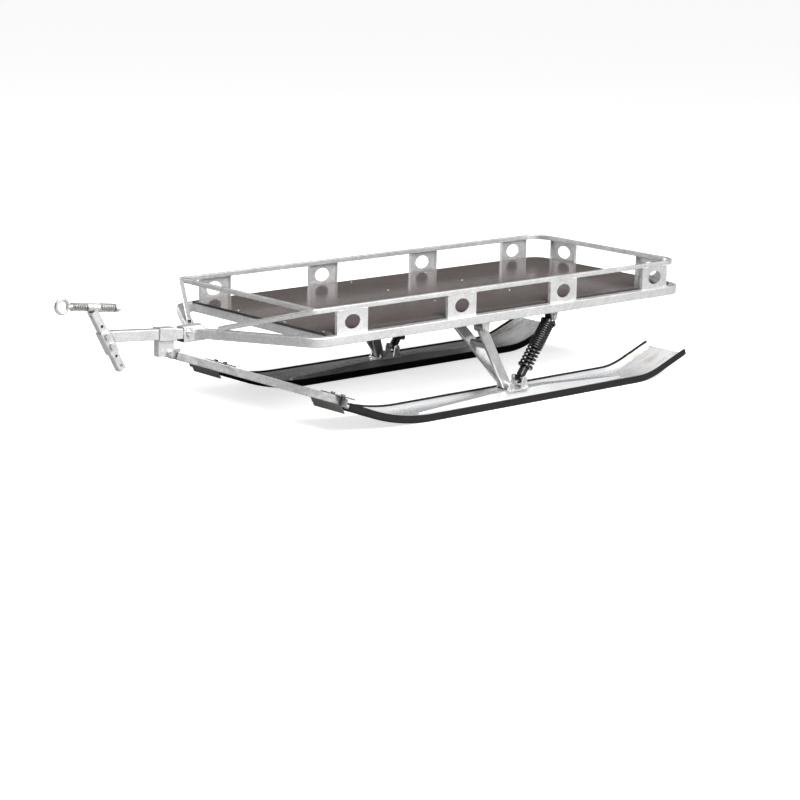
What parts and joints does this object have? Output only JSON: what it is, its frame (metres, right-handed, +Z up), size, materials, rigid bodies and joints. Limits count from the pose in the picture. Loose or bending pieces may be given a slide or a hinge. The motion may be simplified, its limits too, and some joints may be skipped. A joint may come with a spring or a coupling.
{
  "type": "log sled",
  "caption": "Freight sled with a railed plywood deck on sprung steel-topped skis, drawn through poles by a swivelling tow eye.",
  "frame": {"origin": "on the snow under the middle of the sled's outer box", "axes": "+X forward to the tow eye, +Y to the left, +Z up"},
  "size_m": [3.206, 1.121, 0.615],
  "materials": {
    "galvanised_steel": "hot-dip zinc, bright with a faint spangle",
    "bright_steel": "mirror-bright stainless sheet",
    "black_plastic": "satin black polyethylene",
    "deck_board": "dark brown film-faced plywood, satin",
    "spring_black": "black powder coat",
    "damper_black": "satin black",
    "pale_zinc": "pale bright zinc",
    "bolt_zinc": "zinc-plated fasteners",
    "dark_steel": "plain steel plate, dull"
  },
  "bodies": {
    "sled": {"arm_brackets": "galvanised_steel", "arms": "galvanised_steel", "clamp_bolts": "bolt_zinc", "cross_tube_arms": "galvanised_steel", "cross_tube_front": "galvanised_steel", "cross_tube_shocks": "galvanised_steel", "deck": "deck_board", "drawbar": "galvanised_steel", "drawbar_bolt": "bolt_zinc", "eye_sleeve": "pale_zinc", "eye_springs": "pale_zinc", "frame_left": "galvanised_steel", "frame_rear": "galvanised_steel", "frame_right": "galvanised_steel", "hitch_bar": "galvanised_steel", "hitch_clamp": "galvanised_steel", "plates_left": "galvanised_steel", "plates_rear": "galvanised_steel", "plates_right": "galvanised_steel", "pole_bolt": "bolt_zinc", "pole_collar": "galvanised_steel", "pole_left": "galvanised_steel", "pole_right": "galvanised_steel", "rail_front": "galvanised_steel", "rail_left": "galvanised_steel", "rail_rear": "galvanised_steel", "rail_right": "galvanised_steel", "shock_brackets": "galvanised_steel", "shock_springs": "spring_black", "shocks": "damper_black", "ski_base_left": "black_plastic", "ski_base_right": "black_plastic", "ski_nose_left": "dark_steel", "ski_nose_right": "dark_steel", "ski_saddles": "galvanised_steel", "ski_sheet_left": "bright_steel", "ski_sheet_right": "bright_steel", "suspension_pins": "bolt_zinc", "tip_clamp_left": "dark_steel", "tip_clamp_right": "dark_steel", "tow_socket": "galvanised_steel"},
    "tow_eye": {"tow_eye": "pale_zinc", "eye_nut": "pale_zinc"}
  },
  "joints": [
    {"name": "eye_swivel", "type": "hinge", "parent": "sled", "child": "tow_eye", "pos_m": [1.569, 0, 0.581], "axis": [0.9914, 0, 0.1305], "continuous": true}
  ]
}
